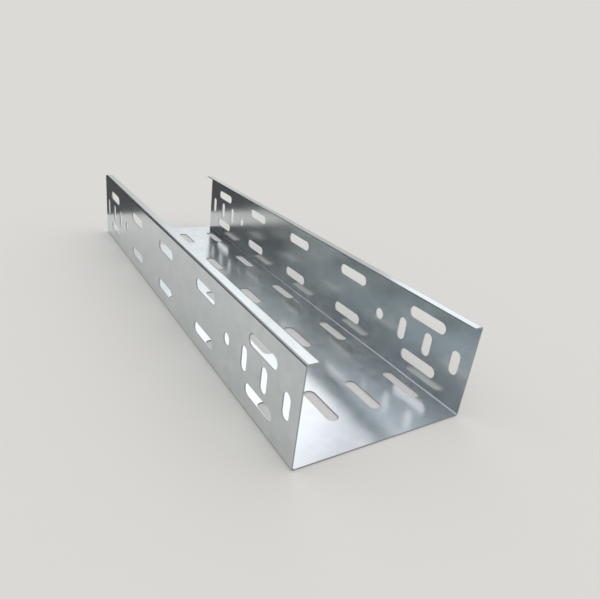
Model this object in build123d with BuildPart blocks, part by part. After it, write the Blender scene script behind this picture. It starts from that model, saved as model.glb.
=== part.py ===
from build123d import *
import os

# A perforated cable tray in bent and punched steel sheet, in mm.
# It runs along X, the walls stand at -Y and +Y, and the floor's underside is at Z 0.

# Sheet and section
sheet = 1.0
length = 500.0
outer_width = 150.0
clear_depth = 75.0
lip_width = 8.5
inner_bend_radius = 1.0

# Slots and holes
long_slot_length = 40.0
long_slot_width = 10.0
end_slot_length = 20.0
end_slot_width = 9.0
round_hole_diameter = 10.0

# Punching pattern
row_pitch = 100.0
row_count = 5
floor_column_pitch = 40.0
floor_column_count = 4
wall_slot_spacing = 40.0
first_end_slot = 15.0
end_slot_pitch = 30.0
end_slot_count = 3

outer_height = clear_depth + 2 * sheet
inner_width = outer_width - 2 * sheet
outer_bend_radius = inner_bend_radius + sheet
mouth_width = outer_width - 2 * lip_width
wall_middle = outer_height / 2

end_slot_stations = [length / 2 - first_end_slot - end_slot_pitch * i for i in range(end_slot_count)]
round_hole_station = end_slot_stations[-1] - end_slot_pitch

with BuildPart() as tray:
    # The channel: a floor, two walls and a lip turned in along the top of each wall
    with BuildSketch(Plane.YZ):
        with Locations((0, wall_middle)):
            RectangleRounded(outer_width, outer_height, outer_bend_radius)
            RectangleRounded(inner_width, clear_depth, inner_bend_radius, mode=Mode.SUBTRACT)
        with Locations((0, outer_height)):
            Rectangle(mouth_width, clear_depth, mode=Mode.SUBTRACT)
    extrude(amount=length / 2, both=True)

    # Floor: long slots in rows across the tray
    with BuildSketch():
        with GridLocations(row_pitch, floor_column_pitch, row_count, floor_column_count):
            SlotOverall(long_slot_length, long_slot_width)
    extrude(amount=sheet, mode=Mode.SUBTRACT)

    # Both walls: a pair of long slots at each row, then the upright slots and
    # the round hole of the joint at each end
    with BuildSketch(Plane.XZ.offset(-outer_width / 2)):
        with Locations((0, wall_middle)):
            with GridLocations(row_pitch, wall_slot_spacing, row_count, 2):
                SlotOverall(long_slot_length, long_slot_width)
            for end in (-1, 1):
                with Locations(*[(end * station, 0) for station in end_slot_stations]):
                    SlotOverall(end_slot_length, end_slot_width, rotation=90)
                with Locations((end * round_hole_station, 0)):
                    Circle(round_hole_diameter / 2)
    extrude(amount=outer_width, mode=Mode.SUBTRACT)

tray.part.label = "tray"

os.makedirs("parts", exist_ok=True)
export_step(tray.part, "parts/tray.step")
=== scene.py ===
import math

import bpy
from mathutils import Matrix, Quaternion, Vector


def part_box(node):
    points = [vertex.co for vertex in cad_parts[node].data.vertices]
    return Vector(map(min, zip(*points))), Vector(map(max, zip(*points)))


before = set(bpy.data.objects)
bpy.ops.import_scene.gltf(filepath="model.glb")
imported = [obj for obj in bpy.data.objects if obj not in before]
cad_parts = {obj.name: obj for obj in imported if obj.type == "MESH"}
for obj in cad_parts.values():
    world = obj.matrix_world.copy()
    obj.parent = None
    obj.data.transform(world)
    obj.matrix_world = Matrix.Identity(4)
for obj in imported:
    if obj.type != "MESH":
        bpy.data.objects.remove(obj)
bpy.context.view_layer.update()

# The tray's own sizes, in metres
sheet = 0.001
outer_bend_radius = 0.002
top_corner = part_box("tray")[1]
half_width = top_corner[1]
tray_height = top_corner[2]

# The camera stands off the near end, to the left and above, and leans a little
camera_place = Vector((0.4470, -0.2197, 0.2219))
camera_heading = math.radians(145.68)
camera_dip = math.radians(23.45)
camera_lean = math.radians(7.55)
camera_lens = 30.25

# The paper floor lies a hair below the tray, and a card laid on the paper lies in between
paper_level = -0.0002
card_level = -0.0001
paper_size = 60

# Colours of the steel, the paper and the room, and how dark the cards are
dull_zinc = (0.633, 0.680, 0.693, 1)
pale_zinc = (0.713, 0.755, 0.768, 1)
bare_steel = (0.40, 0.41, 0.415, 1)
pale_paper = (0.785, 0.777, 0.725, 1)
pale_room = (0.71, 0.70, 0.68, 1)
dark_grey = 0.10
black = 0.05

# Colours of the lamps
lamp_white = (1.0, 1.0, 1.0)
skylight = (0.92, 0.94, 1.22)
daylight = (0.90, 1.0, 1.12)

# The zinc's roughness, what clouds and lines, a cut and a bend add to it, and how much painted shade
# darkens a bend's colour
polish = 0.16
unevenness = 0.03
cut_dullness = 0.25
bend_dullness = 0.12
bend_painted_shade = 0.60

# Its crystals and fine lines a metre, along and across the sheet, and its heights in metres
crystals_per_metre = 170.0
crystal_wander = 0.004
lines_per_metre = (6, 900, 900)
wave_height = 0.0004
line_height = 0.0000015

# Where a lamp hangs: it lights the room from its direction alone, so any distance will do
lamp_distance = 2


class Wire:
    """A value on its way through a material, which takes part in sums as a number does"""

    def __init__(self, finish, socket):
        self.finish = finish
        self.socket = socket

    def __add__(self, other):
        return self.finish.sum("ADD", self, other)

    __radd__ = __add__

    def __mul__(self, other):
        return self.finish.sum("MULTIPLY", self, other)

    __rmul__ = __mul__

    def __rsub__(self, other):
        return self.finish.sum("SUBTRACT", other, self)

    def __gt__(self, other):
        return self.finish.sum("GREATER_THAN", self, other)

    def __lt__(self, other):
        return self.finish.sum("LESS_THAN", self, other)

    def __abs__(self):
        return self.finish.sum("ABSOLUTE", self)


class Finish:
    """A material built up node by node"""

    def __init__(self, name):
        self.material = bpy.data.materials.new(name)
        self.material.use_nodes = True
        self.tree = self.material.node_tree
        self.tree.nodes.clear()

    def node(self, kind, settings=None, inputs=None, output=0):
        made = self.tree.nodes.new(kind)
        for name, value in (settings or {}).items():
            setattr(made, name, value)
        for name, value in (inputs or {}).items():
            if isinstance(value, Wire):
                self.tree.links.new(value.socket, made.inputs[name])
            else:
                made.inputs[name].default_value = value
        return Wire(self, made.outputs[output])

    def sum(self, operation, *values):
        return self.node("ShaderNodeMath", {"operation": operation}, dict(enumerate(values)))

    def noise(self, place, per_metre, detail):
        values = {"Vector": place, "Scale": per_metre, "Detail": detail}
        return self.node("ShaderNodeTexNoise", inputs=values)

    def between(self, value, start, end):
        """0 up to start, 1 from end on, and a soft change between them"""
        ends = {"Value": value, "From Min": start, "From Max": end}
        return self.node("ShaderNodeMapRange", {"interpolation_type": "SMOOTHSTEP"}, ends)

    def stretched(self, place, scale):
        return self.node("ShaderNodeMapping", inputs={"Vector": place, "Scale": scale})

    def shifted(self, place, amount, reach):
        """place, pushed about by up to reach"""
        push = self.node("ShaderNodeVectorMath", {"operation": "SCALE"}, {0: amount, "Scale": reach})
        return self.node("ShaderNodeVectorMath", {"operation": "ADD"}, {0: place, 1: push})

    def parts(self, vector):
        """The three numbers that a place, a direction or a colour is made of"""
        split = self.node("ShaderNodeSeparateXYZ", inputs={"Vector": vector})
        return [Wire(self, output) for output in split.socket.node.outputs]

    def blend(self, mask, first, second):
        """The first colour where mask is 0, and the second where it is 1"""
        # Sockets 6 and 7 take the two colours, and output 2 gives the mixed one
        colours = {"Factor": mask, 6: first, 7: second}
        return self.node("ShaderNodeMix", {"data_type": "RGBA"}, colours, output=2)

    def surface(self, shader):
        end = self.tree.nodes.new("ShaderNodeOutputMaterial")
        self.tree.links.new(shader.socket, end.inputs["Surface"])
        return self.material


def cuts_and_bends(steel, place):
    """1 where the sheet was sheared or punched through, and 1 round its bends"""
    along, across, up = steel.parts(steel.node("ShaderNodeNewGeometry", output="True Normal"))
    _, y, z = steel.parts(place)

    # How far a face is turned along an axis, from 0 for not at all to 1 for quite
    barely, mostly, quite = 0.5, 0.9, 0.99
    # A cut face lies between the two sides of the sheet, and so a hair away from both
    hair = 0.02 * sheet

    ends = abs(along) > mostly
    in_floor = (z > hair) * (z < sheet - hair) * (abs(y) < half_width - outer_bend_radius)
    floor_slots = in_floor * (abs(up) < barely)
    in_walls = (abs(y) > half_width - sheet + hair) * (abs(y) < half_width - hair)
    between_bends = (z > outer_bend_radius) * (z < tray_height - outer_bend_radius)
    wall_slots = in_walls * between_bends * (abs(across) < barely)
    in_lips = (z > tray_height - sheet) * (abs(y) < half_width - 2 * outer_bend_radius)
    lip_edges = in_lips * (abs(across) > mostly)

    cut = steel.sum("MINIMUM", ends + floor_slots + wall_slots + lip_edges, 1.0)
    bend = (abs(up) < quite) * (abs(across) < quite) * (1.0 - cut)
    return cut, bend


def galvanised_steel():
    steel = Finish("galvanised_steel")
    place = steel.node("ShaderNodeTexCoord", output="Object")
    cut, bend = cuts_and_bends(steel, place)

    # The zinc froze in small flat crystals, a shade apart, with paler clouds over them
    wander = steel.noise(place, per_metre=60, detail=2)
    bent_place = steel.shifted(place, wander, crystal_wander)
    crystal_inputs = {"Vector": bent_place, "Scale": crystals_per_metre}
    crystal, _, _ = steel.parts(steel.node("ShaderNodeTexVoronoi", inputs=crystal_inputs, output="Color"))
    clouds = steel.between(steel.noise(place, per_metre=75, detail=3), 0.3, 0.7)
    tone = 0.65 * clouds + 0.35 * crystal
    colour = steel.blend(tone, dull_zinc, pale_zinc)

    # Fine lines from the rolling mill run along the sheet
    along_sheet = steel.stretched(place, lines_per_metre)
    lines = steel.noise(along_sheet, per_metre=1, detail=2)
    roughness = polish + unevenness * tone + unevenness * lines

    # A cut shows bare, dull steel. Round a bend the zinc is crazed and rougher, and painted shade darkens
    # its colour there, dimming the bright line the bend reflects
    colour = steel.blend(cut + bend_painted_shade * bend, colour, bare_steel)
    roughness = roughness + cut_dullness * cut + bend_dullness * bend

    # The sheet is never quite flat, so what it reflects wavers
    waves = steel.noise(place, per_metre=9, detail=1)
    dents = steel.noise(place, per_metre=35, detail=1)
    ripples = steel.noise(place, per_metre=110, detail=1)
    swell_height = waves + 0.06 * dents + 0.02 * ripples
    swell_inputs = {"Strength": 1.0, "Distance": wave_height, "Height": swell_height}
    swell = steel.node("ShaderNodeBump", inputs=swell_inputs)
    grain_inputs = {"Strength": 1.0, "Distance": line_height, "Height": lines, "Normal": swell}
    grain = steel.node("ShaderNodeBump", inputs=grain_inputs)
    metal_inputs = {"Base Color": colour, "Metallic": 1.0, "Roughness": roughness, "Normal": grain}
    return steel.surface(steel.node("ShaderNodeBsdfPrincipled", inputs=metal_inputs))


def dress_tray():
    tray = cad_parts["tray"]
    tray.data.materials.clear()
    tray.data.materials.append(galvanised_steel())
    weld = tray.modifiers.new("one skin", "WELD")
    weld.merge_threshold = 0.00001
    smooth = tray.modifiers.new("flat walls and round bends", "WEIGHTED_NORMAL")
    smooth.keep_sharp = True


def matt(name, colour):
    paint = Finish(name)
    values = {"Base Color": colour, "Roughness": 1.0, "Specular IOR Level": 0.0}
    return paint.surface(paint.node("ShaderNodeBsdfPrincipled", inputs=values))


def plane(name, size, place, material):
    bpy.ops.object.select_all(action="DESELECT")
    bpy.ops.mesh.primitive_plane_add(size=size, location=place)
    made = bpy.context.object
    made.name = name
    made.data.materials.append(material)
    return made


def lay_floor():
    paper = plane("floor", paper_size, (0, 0, paper_level), matt("pale paper", pale_paper))


def card(name, shade, place, turned, size):
    """Only the steel sees a card: it darkens what the steel mirrors"""
    board = plane(name, 1, place, matt(name, (shade, shade, shade, 1)))
    board.rotation_mode = "QUATERNION"
    board.rotation_quaternion = turned
    board.scale = (*size, 1)
    board.visible_camera = False
    board.visible_diffuse = False
    board.visible_shadow = False


def stand_cards():
    """Dark cards beyond the far end, flat on the floor, upright behind it, and on either side"""
    flat = Quaternion()
    behind = Quaternion((0, 1, 0), math.radians(90))
    beside = Quaternion((1, 0, 0), math.radians(90))
    card("far_floor_card", dark_grey, place=(-2.335, 0, card_level), turned=flat, size=(4, 6))
    card("back_card", dark_grey, place=(-2, -0.25, 0.75), turned=behind, size=(1.5, 1.0))
    card("left_card", black, place=(-1.60, -1, 0.485), turned=beside, size=(2.60, 0.95))
    card("right_card", black, place=(-1.44, 1, 0.805), turned=beside, size=(1.24, 0.25))


def towards(bearing, height):
    """The direction of a point in the room, its bearing taken from the far end towards the right"""
    turn, tilt = math.radians(bearing), math.radians(height)
    return Vector((-math.cos(tilt) * math.cos(turn), math.cos(tilt) * math.sin(turn), math.sin(tilt)))


def soft_light(name, colour, bearing, height, spread, brightness):
    """A round light, spread degrees wide, that adds its brightness to the room's there"""
    direction = towards(bearing, height)
    bpy.ops.object.light_add(type="SUN", location=lamp_distance * direction)
    light = bpy.context.object
    light.name = name
    light.rotation_mode = "QUATERNION"
    light.rotation_quaternion = (-direction).to_track_quat("-Z", "Y")
    light.data.color = colour
    light.data.angle = math.radians(spread)
    light.data.energy = brightness * math.pi * math.sin(math.radians(spread / 2)) ** 2


def light_room():
    """An even, pale room with a lit ceiling, a window beyond the far end and some on either side"""
    world = bpy.data.worlds.new("room")
    bpy.context.scene.world = world
    world.use_nodes = True
    world.node_tree.nodes["Background"].inputs["Color"].default_value = pale_room
    soft_light("ceiling", skylight, bearing=0, height=90, spread=120, brightness=0.25)
    soft_light("window", lamp_white, bearing=29.5, height=33, spread=20, brightness=0.64)
    soft_light("far_window", daylight, bearing=22, height=22, spread=13, brightness=0.40)
    soft_light("left_window", daylight, bearing=-47, height=43, spread=17, brightness=0.65)
    soft_light("right_window", daylight, bearing=52, height=20, spread=14, brightness=0.65)
    soft_light("low_window", daylight, bearing=-27, height=28, spread=10, brightness=0.38)


def place_camera():
    heading = Vector((math.cos(camera_heading), math.sin(camera_heading), -math.tan(camera_dip)))
    bpy.ops.object.camera_add(location=camera_place)
    camera = bpy.context.object
    camera.rotation_mode = "QUATERNION"
    level = heading.to_track_quat("-Z", "Y")
    camera.rotation_quaternion = level @ Quaternion((0, 0, 1), camera_lean)
    camera.data.lens = camera_lens
    camera.data.clip_start = 0.01
    bpy.context.scene.camera = camera


dress_tray()
lay_floor()
light_room()
stand_cards()
place_camera()
bpy.context.scene.view_settings.view_transform = "Standard"
